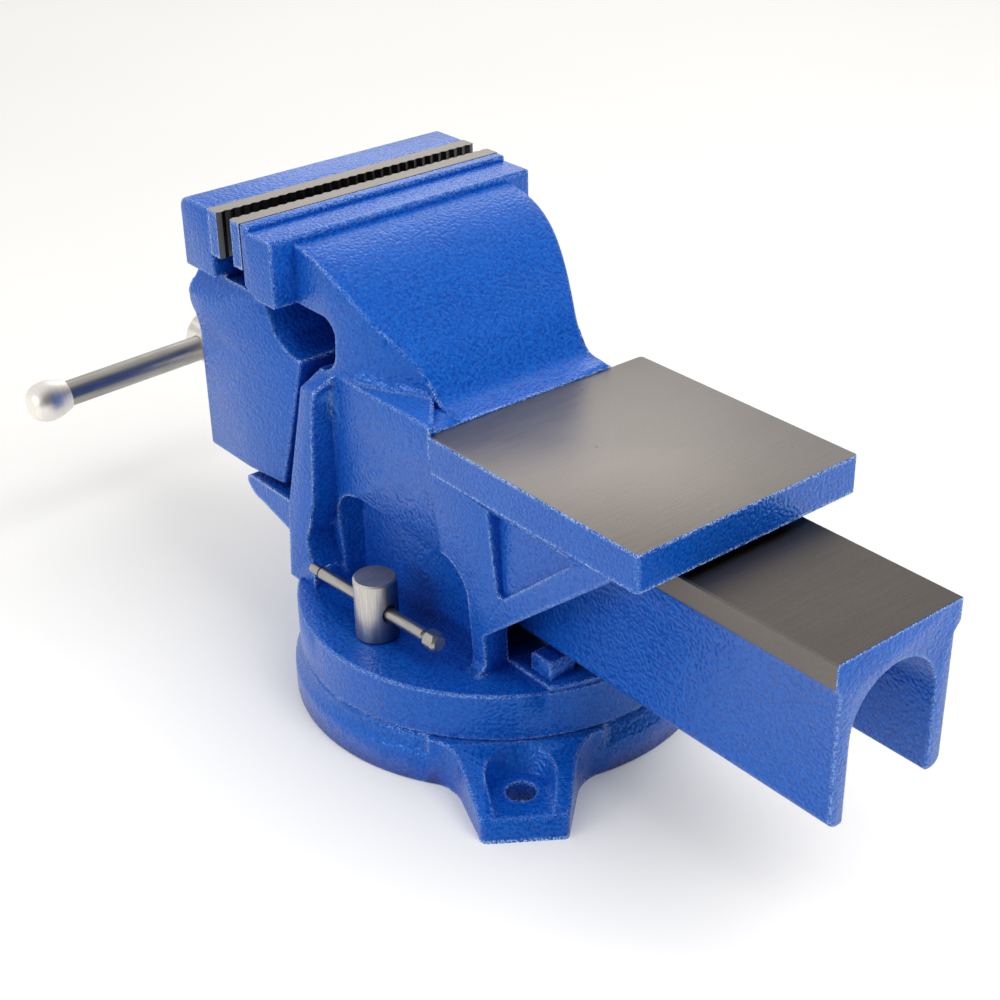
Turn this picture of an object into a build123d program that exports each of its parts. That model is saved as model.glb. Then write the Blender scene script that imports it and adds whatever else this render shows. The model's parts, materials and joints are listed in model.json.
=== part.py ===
from build123d import *
from math import cos, pi, radians, sin
import os

# Swivel bench vise, millimetres.
# +X is the operator's right, -Y faces the operator, +Z is up.
# The origin is on the swivel axis at bench level.

# Heights, stacked from the bench up
base_height = 24.5
swivel_gap = 0.3
disc_thickness = 24.2
floor_rise = 2.0
beam_lift = 9.0
beam_height = 78.2
anvil_lift = 3.8
anvil_thickness = 17.4
shoulder_rise = 4.1
throat_height = 27.0
jaw_depth = 34.5
spindle_rise = 32.0
neck_foot_rise = 0.8

# Jaws
jaw_width = 150.0
jaw_reach = 97.5
jaw_opening = 10.0
plate_thickness = 8.5
plate_height = 22.5
tooth_pitch = 5.0
tooth_depth = 1.0
screw_offset = 45.0
screw_radius = 3.0
screw_head_radius = 5.5
screw_length = 20.0
screw_socket = 4.0
ground_strip = 5.9
ledge_step = 2.5
head_length = 24.5
casting_round = 1.5

# Swivel base
base_radius = 101.5
base_rim_height = 14.0
base_shoulder_radius = 97.6
base_shoulder_height = 20.0
base_web = 11.0
base_wall = 12.0
ear_count = 2
ear_angle = 55.0
ear_reach = 137.8
ear_height = 11.0
ear_half_width = 18.9
ear_root_half_width = 29.5
bolt_circle_radius = 116.5
bolt_hole_radius = 6.6
ear_recess_radius = 12.6
ear_recess_draft = 24.0

# Swivel joint
pivot_radius = 8.0
pivot_head_flats = 24.0
pivot_head_height = 10.0
pivot_nut_height = 13.0
pivot_washer_thickness = 3.0
pivot_washer_radius = 15.0
hub_radius = 22.0
lock_radius = 73.0
lock_bolt_radius = 6.0
lock_head_width = 22.0
lock_head_height = 8.2
slot_floor = 5.0
slot_lip = 10.0
head_well_depth = 13.0

# Fits
running_clearance = 0.08
seat_clearance = 0.3
press_fit = 0.02
bolt_clearance = 0.2
slot_clearance = 0.5
head_clearance = 1.5

# Fixed body
disc_radius = 98.3
floor_half_width = 43.0
lug_front = 70.0
lug_rear = 84.0
lug_outer = 39.5
wall_half_width = 61.5
wall_draft = 6.0
wall_rear = 59.0
bracket_height = 20.4
bracket_reach = 148.0
anvil_half_width = 62.3
anvil_front = 30.4
anvil_rear = 161.5
flange_inset = 2.4
flange_top_slope = 6.7
flange_front_top = 50.0
flange_front_middle = 69.7
flange_front_foot = 74.0
lip_inset = 3.0
lip_reach = 108.0
lip_rise = 12.0
lip_thickness = 17.5
pad_front = 60.0
pad_rear = 36.0
neck_inset = 12.5
neck_rear_half_width = 43.5
recess_depth = 6.0
recess_margin = 2.5
recess_height = 45.0
recess_front = 69.0
recess_rear = 125.0
pocket_radius = 52.0
pocket_rise = 53.0
pocket_wall = 4.0

# Sliding beam
beam_half_width = 35.9
beam_rear = 239.0
beam_band = 11.7
beam_leg_outer = 33.0
beam_leg_inner = 24.7
beam_roof = 14.7

# Movable jaw
apron_inset = 3.5
apron_rear_inset = 9.0
apron_front = 141.5
apron_gap = 3.5
apron_wall = 9.0
front_wall = 15.5
bead_inset = 0.5
groove_inset = 6.0
boss_radius = 30.0
boss_tip_radius = 26.0
boss_length = 36.5

# Spindle and handle
spindle_radius = 11.0
spindle_end = 205.0
thrust_washer_thickness = 4.0
thrust_washer_radius = 21.0
spindle_flange_radius = 19.5
spindle_flange_thickness = 8.0
spindle_head_radius = 16.0
spindle_head_end = 264.0
handle_setback = 14.0
handle_radius = 7.0
handle_half_length = 118.6
handle_turn = 1.8
knob_radius = 11.0
knob_length = 21.0
knob_face_radius = 6.5
knob_cap = 6.0
collar_radius = 18.0
collar_length = 12.0
collar_pin_radius = 2.5

# Spindle nut
nut_front = 22.0
nut_rear = 62.0
nut_half_width = 19.0
nut_foot_half_width = 23.0
nut_foot_gap = 2.0
nut_foot_rear = 86.0
nut_foot_height = 7.5
nut_bolt_radius = 5.0
nut_bolt_head_flats = 17.0
nut_bolt_head_height = 6.4
nut_bolt_depth = 16.0
nut_bolt_margin = 12.0

# Lock nuts and their sliding bars
lock_nut_radius = 10.25
lock_nut_height = 31.0
lock_bar_height = 15.0
lock_bar_radius = 3.0
lock_bar_turn = 3.5
lock_bar_front = 48.0
lock_bar_rear = 44.5
lock_tip_length = 6.5
lock_tip_radius = 2.5
lock_groove = 1.5
lock_groove_radius = 1.9
lock_neck_radius = 2.1
lock_knob_flats = 8.8
lock_knob_length = 8.5
lock_neck_depth = 4.0

# Heights and places that follow from the sizes above
disc_bottom = base_height + swivel_gap
disc_top = disc_bottom + disc_thickness
floor_top = disc_top + floor_rise
beam_bottom = floor_top + beam_lift
beam_top = beam_bottom + beam_height
anvil_bottom = beam_top + anvil_lift
anvil_top = anvil_bottom + anvil_thickness
neck_foot_height = anvil_top + neck_foot_rise
shoulder_height = anvil_top + shoulder_rise
jaw_bottom = shoulder_height + throat_height
jaw_top = jaw_bottom + jaw_depth
plate_bottom = jaw_top - plate_height
flange_half_width = jaw_width / 2 - flange_inset
lip_half_width = jaw_width / 2 - lip_inset
neck_half_width = jaw_width / 2 - neck_inset
apron_half_width = jaw_width / 2 - apron_inset
apron_rear_half_width = jaw_width / 2 - apron_rear_inset
bead_half_width = jaw_width / 2 - bead_inset
groove_half_width = jaw_width / 2 - groove_inset
spindle_height = beam_bottom + spindle_rise
lip_bottom = beam_bottom + lip_rise
lip_top = lip_bottom + lip_thickness
apron_bottom = lip_top + apron_gap
apron_top = jaw_bottom - 1.5
pocket_height = disc_top + pocket_rise
fixed_face = -jaw_reach
movable_face = -(jaw_reach + jaw_opening)
fixed_seat = fixed_face + plate_thickness
movable_seat = movable_face - plate_thickness
head_rear = fixed_seat + head_length
screw_height = plate_bottom + plate_height / 2
channel_half_width = beam_half_width + seat_clearance
channel_roof = beam_top + seat_clearance
beam_arch_top = beam_top - beam_roof
beam_arch_centre = beam_arch_top - beam_leg_inner
boss_face = -(apron_front + boss_length)
thrust_face = boss_face - thrust_washer_thickness
spindle_flange_face = thrust_face - spindle_flange_thickness
handle_place = -(spindle_head_end - handle_setback)
hollow_front = -(apron_front - front_wall)
lock_bar_level = disc_top + lock_bar_height
slot_top = base_height - slot_lip
nut_foot_front = pad_rear + nut_foot_gap

# Longer than any casting, for cuts that go right through
cut_reach = beam_rear + apron_front


# Shared shapes

def outline(*curves):
    edges = [edge for curve in curves for edge in curve.edges()]
    return make_face(edges)


def polygon(*points):
    return make_face(Polyline(*points, close=True))


def mirrored(points):
    return points + [(-x, z) for x, z in reversed(points)]


def side_prism(face, half_width):
    return extrude(Plane.YZ * face, amount=half_width, both=True)


def front_prism(face, y_front, y_rear):
    plane = Plane(origin=(0, y_rear, 0), x_dir=(1, 0, 0), z_dir=(0, -1, 0))
    return extrude(plane * face, amount=y_rear - y_front)


def plan_prism(face, z_low, z_high):
    return extrude(Plane.XY.offset(z_low) * face, amount=z_high - z_low)


def upright(x, y, z_low, z_high, radius):
    low_end = Pos(x, y, z_low) * Circle(radius)
    return extrude(low_end, amount=z_high - z_low)


def lengthwise(y_front, y_rear, radius, x=0.0, z=spindle_height):
    plane = Plane(origin=(x, y_rear, z), x_dir=(1, 0, 0), z_dir=(0, -1, 0))
    return extrude(plane * Circle(radius), amount=y_rear - y_front)


def turned(profile_points, axis_height=spindle_height):
    # A turned piece on the spindle line, from (y, radius) points.
    profile = polygon(*[(y, axis_height + radius) for y, radius in profile_points])
    return revolve(Plane.YZ * profile, Axis((0, 0, axis_height), (0, 1, 0)))


def hexagon_bar(x, y, z_low, z_high, flats):
    hexagon = Pos(x, y, z_low) * RegularPolygon(flats / 2, 6, major_radius=False)
    return extrude(hexagon, amount=z_high - z_low)


def edges_at(part, x=None, y=None, z=None, tolerance=0.05):
    # Edges whose middle lies at the given place; a place left out is free.
    chosen = []
    for edge in part.edges():
        middle = edge.center(CenterOf.BOUNDING_BOX)
        near = [abs(abs(have) - want) < tolerance
                for have, want in ((middle.X, x), (middle.Y, y), (middle.Z, z)) if want is not None]
        if all(near):
            chosen.append(edge)
    return chosen


# Swivel base

def make_ear():
    root = base_shoulder_radius - base_wall
    slope = polygon((root, 0), (ear_reach, 0), (ear_reach - 2.8, ear_height),
                    (base_shoulder_radius, base_height - seat_clearance),
                    (root, base_height - seat_clearance))
    body = extrude(Plane.XZ * slope, amount=base_radius, both=True)
    shoulder = base_radius + 6.5
    shoulder_width = ear_root_half_width - 3.5
    foot = (base_radius - 9, ear_root_half_width + 10.5)
    side = [Line((ear_reach, ear_half_width), (shoulder, shoulder_width)),
            ThreePointArc((shoulder, shoulder_width), (base_radius - 2.5, ear_root_half_width + 1), foot),
            Line(foot, (root, foot[1]))]
    other = [mirror(edge, about=Plane.XZ) for edge in side]
    ends = [Line((ear_reach, -ear_half_width), (ear_reach, ear_half_width)),
            Line((root, -foot[1]), (root, foot[1]))]
    plan = plan_prism(outline(*side, *other, *ends), 0, base_height)
    ear = body & plan
    corners = [edge for edge in ear.edges() if edge.center().X > ear_reach - 3
               and abs(edge.tangent_at(0.5).Z) > 0.8]
    return fillet(corners, 3.0)


def ear_recess():
    # Seat for the bolt head, with leaning walls, open towards the end of the ear
    round_end = Pos(bolt_circle_radius, 0) * Circle(ear_recess_radius)
    run_out = ear_reach - bolt_circle_radius + ear_recess_radius
    straight = Pos(bolt_circle_radius + run_out / 2, 0) * Rectangle(run_out, 2 * ear_recess_radius)
    seat = Plane.XY.offset(ear_height) * (round_end + straight)
    return extrude(seat, amount=base_height, taper=-ear_recess_draft)


def make_swivel_base():
    rim = polygon((0, 0), (base_radius - 0.6, 0), (base_radius, 0.6), (base_radius, base_rim_height),
                  (base_shoulder_radius, base_shoulder_height),
                  (base_shoulder_radius, base_height - 0.6), (base_shoulder_radius - 0.6, base_height),
                  (0, base_height))
    base = revolve(Plane.XZ * rim, Axis.Z)
    ear = make_ear()
    for index in range(ear_count):
        angle = ear_angle + index * 360 / ear_count
        base += Rot(0, 0, angle) * ear
    slot_inner = lock_radius - lock_bolt_radius - slot_clearance
    slot_outer = lock_radius + lock_bolt_radius + slot_clearance
    head_inner = lock_radius - lock_head_width / 2 - head_clearance
    head_outer = lock_radius + lock_head_width / 2 + head_clearance
    slot = polygon((slot_inner, base_height), (slot_outer, base_height), (slot_outer, slot_top),
                   (head_outer, slot_top), (head_outer, slot_floor), (head_inner, slot_floor),
                   (head_inner, slot_top), (slot_inner, slot_top))
    base -= revolve(Plane.XZ * slot, Axis.Z)
    # Wide place where the bolt heads drop into the slot
    base -= upright(0, lock_radius, slot_floor, base_height, lock_head_width / 2 + head_clearance)
    # Hollow underside between the hub and the slot
    hollow = polygon((hub_radius, 0), (head_inner - 6, 0), (head_inner - 9, base_height - base_web),
                     (hub_radius + 3, base_height - base_web))
    base -= revolve(Plane.XZ * hollow, Axis.Z)
    base -= upright(0, 0, 0, base_height, pivot_radius + running_clearance)
    base -= upright(0, 0, 0, head_well_depth, pivot_head_flats / 2 + 3 * head_clearance)
    recess = ear_recess()
    for index in range(ear_count):
        angle = radians(ear_angle + index * 360 / ear_count)
        x, y = bolt_circle_radius * cos(angle), bolt_circle_radius * sin(angle)
        base -= upright(x, y, 0, base_height, bolt_hole_radius)
        base -= Rot(0, 0, ear_angle + index * 360 / ear_count) * recess
    return base


# Fixed body

def flange_front():
    # The leaning front line of the fixed body, from its top down to the disc.
    return [(-flange_front_top, shoulder_height), (-flange_front_middle, spindle_height),
            (-(flange_front_middle + 1.8), lip_bottom), (-flange_front_foot, disc_top - 3.0)]


def channel_section():
    leg_room = beam_bottom - seat_clearance
    guide_bottom = beam_top - beam_band - 2.5
    right = [(channel_half_width, channel_roof), (channel_half_width, guide_bottom),
             (floor_half_width, guide_bottom - 8.0), (floor_half_width, floor_top)]
    section = polygon(*mirrored(right))
    way = front_prism(section, -cut_reach, cut_reach)
    pad_face = polygon((beam_leg_inner, floor_top), (channel_half_width, floor_top),
                       (channel_half_width, leg_room), (beam_leg_inner, leg_room))
    pad = front_prism(pad_face, -pad_front, pad_rear)
    return way - pad - mirror(pad, about=Plane.YZ)


def guide_lugs():
    # Low lugs on the floor under the beam's legs, behind the walls
    top = beam_bottom - seat_clearance
    bottom = floor_top - 1
    lug = Box(lug_outer - beam_leg_inner, lug_rear - lug_front, top - bottom)
    lug = Pos((beam_leg_inner + lug_outer) / 2, (lug_front + lug_rear) / 2, (bottom + top) / 2) * lug
    lug = chamfer(lug.edges().group_by(Axis.Z)[-1], 1.0)
    return lug + mirror(lug, about=Plane.YZ)


def draft_section(top_width, height_low, height_high):
    low_width = top_width - wall_draft
    return polygon((-low_width, height_low), (low_width, height_low), (top_width, anvil_bottom),
                   (top_width, height_high), (-top_width, height_high), (-top_width, anvil_bottom))


def make_trunk():
    front = flange_front()
    profile = polygon(*front, (-flange_front_foot, disc_top - 6), (wall_rear, disc_top - 6),
                      (wall_rear, disc_top + bracket_height), (bracket_reach, anvil_bottom),
                      (bracket_reach, anvil_bottom + 5), (anvil_front, anvil_bottom + 5),
                      (anvil_front, shoulder_height - 1.0), (anvil_front - 3, shoulder_height))
    trunk = side_prism(profile, wall_half_width)
    drafted = draft_section(wall_half_width, disc_top - 6, jaw_top)
    return trunk & front_prism(drafted, -cut_reach, cut_reach)


def make_flange():
    front = flange_front()
    rear = [(-56.5, disc_top + 25.0), (-46.2, shoulder_height - 40.5), (-40.6, shoulder_height - 5.5),
            (-38.5, shoulder_height)]
    edges = [Line(a, b) for a, b in zip(front, front[1:])]
    edges.append(Line(front[-1], (-36.0, disc_top - 3.0)))
    edges.append(Line((-36.0, disc_top - 3.0), (-36.0, disc_top + 0.5)))
    edges.append(ThreePointArc((-36.0, disc_top + 0.5), (-50.5, disc_top + 9.0), rear[0]))
    edges.append(Spline(*rear))
    edges.append(Line(rear[-1], front[0]))
    flange = side_prism(outline(*edges), flange_half_width)
    top = [(flange_half_width, disc_top - 3), (flange_half_width, shoulder_height - flange_top_slope),
           (wall_half_width, shoulder_height)]
    return flange & front_prism(polygon(*mirrored(top)), -cut_reach, 0)


def make_lip():
    root = -(flange_front_middle - 9.7)
    nose = (-lip_reach, lip_top - 4.0)
    under = (-(lip_reach - 11.6), lip_top - 10.8)
    foot = (-(flange_front_middle + 1.8), lip_bottom)
    edges = [Line((root, lip_top), (-lip_reach + 3.5, lip_top)),
             ThreePointArc((-lip_reach + 3.5, lip_top), (-lip_reach + 0.4, lip_top - 1.9), nose),
             ThreePointArc(nose, (-lip_reach + 3.0, lip_top - 7.7), under),
             Line(under, foot),
             Line(foot, (root, lip_bottom)),
             Line((root, lip_bottom), (root, lip_top))]
    return side_prism(outline(*edges), lip_half_width)


def make_fixed_head():
    strip_rear = fixed_seat + ground_strip
    profile = polygon((fixed_seat, jaw_top), (strip_rear, jaw_top), (strip_rear, jaw_top - ledge_step),
                      (head_rear, jaw_top - ledge_step), (head_rear, jaw_bottom),
                      (fixed_seat + 8.5, jaw_bottom), (fixed_seat, jaw_bottom + 4.5))
    head = side_prism(profile, jaw_width / 2)
    return fillet(edges_at(head, y=-head_rear, z=jaw_top - ledge_step), casting_round)


def neck_profile():
    front = head_rear - 3.5
    throat_front = -flange_front_top
    throat_top = throat_front + 4.0
    crest = jaw_top - 5.2
    rear_curve = [(front, crest), (head_rear + 14.5, jaw_top - 8.8), (head_rear + 33.5, jaw_top - 18.0),
                  (anvil_front - 40.4, jaw_top - 36.0), (anvil_front - 24.4, neck_foot_height + 13.4),
                  (anvil_front - 17.4, neck_foot_height + 4.0), (anvil_front, neck_foot_height)]
    edges = [Line((front, jaw_bottom), (front, crest)),
             Spline(*rear_curve, tangents=[(1, -0.15), (1, -0.03)]),
             Line((anvil_front, neck_foot_height), (anvil_front, anvil_bottom)),
             Line((anvil_front, anvil_bottom), (throat_front, anvil_bottom)),
             Line((throat_front, anvil_bottom), (throat_front, shoulder_height)),
             ThreePointArc((throat_front, shoulder_height), (throat_front + 8.5, shoulder_height + 3.0),
                           (throat_front + 12.0, shoulder_height + 11.0)),
             Line((throat_front + 12.0, shoulder_height + 11.0), (throat_front + 12.5, jaw_bottom - 9.0)),
             ThreePointArc((throat_front + 12.5, jaw_bottom - 9.0), (throat_front + 10.0, jaw_bottom - 2.5),
                           (throat_top, jaw_bottom)),
             Line((throat_top, jaw_bottom), (front, jaw_bottom))]
    return outline(*edges)


def make_neck():
    # Rear curve of the jaw casting, narrower towards the anvil
    front = head_rear - 5.5
    slim_start = head_rear + 12.5
    slim_end = anvil_front - 14.4
    right = [Line((neck_half_width, front), (neck_half_width, slim_start)),
             Spline((neck_half_width, slim_start), (neck_half_width - 2.0, slim_start + 21.4),
                    (neck_half_width - 9.5, slim_end - 26.0), (neck_rear_half_width + 2.5, slim_end - 13.0),
                    (neck_rear_half_width, slim_end), tangents=[(0, 1), (0, 1)]),
             Line((neck_rear_half_width, slim_end), (neck_rear_half_width, anvil_front))]
    left = [mirror(edge, about=Plane.YZ) for edge in right]
    ends = [Line((-neck_half_width, front), (neck_half_width, front)),
            Line((-neck_rear_half_width, anvil_front), (neck_rear_half_width, anvil_front))]
    plan = outline(*right, *left, *ends)
    return side_prism(neck_profile(), jaw_width / 2) & plan_prism(plan, anvil_bottom, jaw_top)


def shoulder_step():
    # Lower ground where the foot of the neck widens towards the anvil
    wide = wall_half_width - 4.0
    right = [(neck_rear_half_width - 5, anvil_front - 24.4), (neck_rear_half_width, anvil_front - 19.4),
             (wide - 5.5, anvil_front - 8.4), (wide, anvil_front - 1.4), (wide, anvil_front + 1)]
    plan = polygon(*mirrored(right))
    return plan_prism(plan, neck_foot_height, jaw_bottom)


def left_scoop():
    # The wall top falls away ahead of the anvil on the left side
    floor = anvil_bottom + 0.5
    top = shoulder_height + 1
    front = anvil_front - 49.4
    flat = anvil_front - 27.4
    inner = neck_rear_half_width - 3.0
    edges = [Line((front, top), (front, shoulder_height)),
             ThreePointArc((front, shoulder_height), (front + 7.5, shoulder_height - 14.0), (flat, floor)),
             Line((flat, floor), (anvil_front, floor)),
             Line((anvil_front, floor), (anvil_front, top)),
             Line((anvil_front, top), (front, top))]
    scoop = extrude(Plane.YZ * outline(*edges), amount=jaw_width / 2)
    return Pos(-(jaw_width / 2 + inner), 0, 0) * scoop


def make_anvil():
    block = Box(2 * anvil_half_width, anvil_rear - anvil_front, anvil_thickness)
    anvil = Pos(0, (anvil_front + anvil_rear) / 2, (anvil_bottom + anvil_top) / 2) * block
    return fillet(anvil.edges().filter_by(Axis.Z), 2.0)


def foot_fillet():
    # Curved foot where the wall meets the disc
    width = wall_half_width - wall_draft
    size = 7.0
    edges = [Line((width - 6, disc_top - 1), (width + size, disc_top - 1)),
             Line((width + size, disc_top - 1), (width + size, disc_top)),
             ThreePointArc((width + size, disc_top), (width + 2.3, disc_top + 2.1),
                           (width + 0.4, disc_top + size)),
             Line((width + 0.4, disc_top + size), (width - 6, disc_top + size)),
             Line((width - 6, disc_top + size), (width - 6, disc_top - 1))]
    foot = front_prism(outline(*edges), -flange_front_middle, wall_rear)
    return foot + mirror(foot, about=Plane.YZ)


def recess_cut():
    # Triangular panel in the web that carries the anvil
    top = anvil_bottom - recess_margin
    triangle = polygon((recess_front, top), (recess_front + 2.5, top - recess_height), (recess_rear, top))
    cutter = Plane.YZ * fillet(triangle.vertices(), 2.5)
    cutter = extrude(Pos(wall_half_width - recess_depth, 0, 0) * cutter, amount=30)
    return cutter + mirror(cutter, about=Plane.YZ)


def lock_pocket():
    # Scoop in the wall that leaves room to swing the lock bar
    dome_start = pocket_height - 18
    edges = [Line((0, disc_top), (pocket_radius, disc_top)),
             Line((pocket_radius, disc_top), (pocket_radius, dome_start)),
             ThreePointArc((pocket_radius, dome_start), (pocket_radius - 5.0, pocket_height - 5.5),
                           (pocket_radius - 18, pocket_height)),
             Line((pocket_radius - 18, pocket_height), (0, pocket_height)),
             Line((0, pocket_height), (0, disc_top))]
    scoop = Pos(lock_radius, 0, 0) * revolve(Plane.XZ * outline(*edges), Axis.Z)
    inner = floor_half_width + pocket_wall
    keep = Pos(inner + cut_reach / 2, 0, disc_top) * Box(cut_reach, cut_reach, cut_reach)
    scoop = scoop & keep
    return scoop + mirror(scoop, about=Plane.YZ)


def plate_screw_holes(seat, direction):
    holes = Part()
    for side in (-1, 1):
        near, far = sorted((seat, seat + direction * (screw_length - plate_thickness + 2)))
        holes += lengthwise(near, far, screw_radius + press_fit, x=side * screw_offset, z=screw_height)
    return holes


def make_fixed_body():
    disc_face = polygon((0, disc_bottom), (disc_radius, disc_bottom), (disc_radius, disc_top - 0.8),
                        (disc_radius - 0.8, disc_top), (0, disc_top))
    body = revolve(Plane.XZ * disc_face, Axis.Z)
    pad = Box(2 * floor_half_width, 2 * disc_radius, floor_rise + 1)
    pad = Pos(0, 0, disc_top + floor_rise / 2 - 0.5) * pad
    body += pad & upright(0, 0, disc_top - 5, disc_top + 10, disc_radius - 1.0)
    body += make_trunk()
    body -= shoulder_step()
    body -= left_scoop()
    body += make_flange()
    body += make_lip()
    body += foot_fillet()
    body -= lock_pocket()
    body -= recess_cut()
    body += make_anvil()
    body += make_neck()
    body += make_fixed_head()
    body -= channel_section()
    body += guide_lugs()
    body -= upright(0, 0, disc_bottom, floor_top, pivot_radius + running_clearance)
    for side in (-1, 1):
        body -= upright(side * lock_radius, 0, disc_bottom, disc_top, lock_bolt_radius + bolt_clearance)
    body -= upright(0, nut_bolt_place(), floor_top - nut_bolt_depth, floor_top, nut_bolt_radius + press_fit)
    body -= plate_screw_holes(fixed_seat, 1)
    return body


# Movable jaw

def apron_profile(top_rear, bottom_rear):
    # Side view, with the throat curve above the line that leans with the fixed body
    throat = [(top_rear - 23.7, apron_top), (top_rear - 20.7, jaw_bottom - 9.5),
              (top_rear - 16.2, shoulder_height + 8.5), (top_rear - 8.7, shoulder_height + 2.5),
              (top_rear, shoulder_height + 0.5)]
    bead_low = (-apron_front, shoulder_height + 1.5)
    bead_high = (-apron_front, jaw_bottom - 7.5)
    inside_head = jaw_bottom + 13.5
    return outline(Line((-apron_front, apron_bottom), bead_low),
                   ThreePointArc(bead_low, (-apron_front - 1.8, shoulder_height + 10.5), bead_high),
                   Line(bead_high, (-apron_front, inside_head)),
                   Line((-apron_front, inside_head), (movable_seat, inside_head)),
                   Line((movable_seat, inside_head), (movable_seat, apron_top)),
                   Line((movable_seat, apron_top), throat[0]),
                   Spline(*throat),
                   Line(throat[-1], (bottom_rear, apron_bottom)),
                   Line((bottom_rear, apron_bottom), (-apron_front, apron_bottom)))


def apron_front_view():
    # Right half: straight side, bead and groove below the head
    top = jaw_bottom + 1
    return outline(Line((apron_half_width, apron_bottom), (apron_half_width, shoulder_height - 11.5)),
                   Spline((apron_half_width, shoulder_height - 11.5),
                          (bead_half_width - 1.4, shoulder_height + 0.5),
                          (bead_half_width, shoulder_height + 11.5),
                          (groove_half_width + 2, jaw_bottom - 6.5),
                          (groove_half_width, jaw_bottom - 3.5), (groove_half_width, top)),
                   Line((groove_half_width, top), (0, top)),
                   Line((0, top), (0, apron_bottom)),
                   Line((0, apron_bottom), (apron_half_width, apron_bottom)))


def apron_pocket():
    # Hollow behind the front wall, beside the beam
    outer = apron_rear_half_width - apron_wall
    inner = beam_half_width + 5
    low = apron_bottom - 2
    high = shoulder_height - 13.5
    face = polygon((inner, low), (outer, low), (outer, high), (inner, high))
    return front_prism(face, hollow_front, 0)


def make_apron():
    closing = jaw_opening + seat_clearance
    top_rear = -(flange_front_top + closing)
    bottom_rear = -(flange_front_middle + closing)
    profile = side_prism(apron_profile(top_rear, bottom_rear), bead_half_width)
    right = front_prism(apron_front_view(), -cut_reach, 0)
    front_view = right + mirror(right, about=Plane.YZ)
    taper_start = -(apron_front - 11.5)
    slim = polygon(*mirrored([(bead_half_width, -cut_reach), (bead_half_width, taper_start),
                              (apron_rear_half_width, top_rear)]))
    apron = profile & front_view & plan_prism(slim, 0, jaw_top)
    pocket = apron_pocket()
    return apron - pocket - mirror(pocket, about=Plane.YZ)


def make_movable_head():
    edges = [Line((-apron_front, jaw_bottom), (-apron_front, jaw_top - 6)),
             ThreePointArc((-apron_front, jaw_top - 6), (-apron_front + 1.8, jaw_top - 1.8),
                           (-apron_front + 6, jaw_top)),
             Line((-apron_front + 6, jaw_top), (movable_seat, jaw_top)),
             Line((movable_seat, jaw_top), (movable_seat, jaw_bottom)),
             Line((movable_seat, jaw_bottom), (-apron_front, jaw_bottom))]
    return side_prism(outline(*edges), jaw_width / 2)


def make_beam():
    right = [Line((0, beam_top), (beam_half_width - 0.8, beam_top)),
             Line((beam_half_width - 0.8, beam_top), (beam_half_width, beam_top - 0.8)),
             Line((beam_half_width, beam_top - 0.8), (beam_half_width, beam_top - beam_band)),
             Line((beam_half_width, beam_top - beam_band), (beam_leg_outer, beam_top - beam_band - 3.5)),
             Line((beam_leg_outer, beam_top - beam_band - 3.5), (beam_leg_outer, beam_bottom + 5)),
             ThreePointArc((beam_leg_outer, beam_bottom + 5), (beam_leg_outer - 1.5, beam_bottom + 1.5),
                           (beam_leg_outer - 5, beam_bottom)),
             Line((beam_leg_outer - 5, beam_bottom), (0, beam_bottom)),
             Line((0, beam_bottom), (0, beam_top))]
    half = front_prism(outline(*right), -apron_front, beam_rear)
    return half + mirror(half, about=Plane.YZ)


def beam_hollow():
    # Arched tunnel that the spindle and its nut run in
    diagonal = beam_leg_inner * sin(pi / 4)
    arch_side = [Line((0, beam_bottom - 1), (beam_leg_inner, beam_bottom - 1)),
                 Line((beam_leg_inner, beam_bottom - 1), (beam_leg_inner, beam_arch_centre)),
                 ThreePointArc((beam_leg_inner, beam_arch_centre), (diagonal, beam_arch_centre + diagonal),
                               (0, beam_arch_top)),
                 Line((0, beam_arch_top), (0, beam_bottom - 1))]
    hollow = front_prism(outline(*arch_side), hollow_front, beam_rear + 1)
    return hollow + mirror(hollow, about=Plane.YZ)


def make_boss():
    points = [(boss_face, 0), (boss_face, boss_tip_radius - 2), (boss_face + 2, boss_tip_radius),
              (-apron_front - 4, boss_radius - 2), (-apron_front + 1, boss_radius + 1), (-apron_front + 1, 0)]
    return turned(points)


def make_movable_jaw():
    jaw = make_beam() + make_apron()
    jaw += make_boss()
    jaw += make_movable_head()
    jaw -= beam_hollow()
    hole = spindle_radius + running_clearance
    jaw -= lengthwise(boss_face - 1, hollow_front + 1, hole)
    jaw -= plate_screw_holes(movable_seat, -1)
    return jaw


# Jaw plates and their screws

def make_plate(face, direction):
    # direction points from the gripping face into the casting
    half = jaw_width / 2
    teeth = round(jaw_width / tooth_pitch)
    pitch = jaw_width / teeth
    points = [(-half, face + direction * plate_thickness), (-half, face + direction * tooth_depth)]
    for index in range(teeth):
        start = -half + index * pitch
        points.append((start + pitch / 2, face))
        points.append((start + pitch, face + direction * tooth_depth))
    points.append((half, face + direction * plate_thickness))
    plate = plan_prism(polygon(*points), plate_bottom, jaw_top)
    for side in (-1, 1):
        plate -= Pos(side * screw_offset, 0, screw_height) * screw_space(face, direction)
    return plate


def screw_space(face, direction):
    seat = face + direction * plate_thickness
    cone_depth = screw_head_radius - screw_radius
    top = face + direction * (tooth_depth + 0.6)
    head_space = screw_head_radius + seat_clearance
    shank_space = screw_radius + seat_clearance
    points = [(face - direction, 0), (face - direction, head_space), (top, head_space),
              (top + direction * cone_depth, shank_space), (seat + direction, shank_space),
              (seat + direction, 0)]
    return turned(points, axis_height=0.0)


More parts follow.
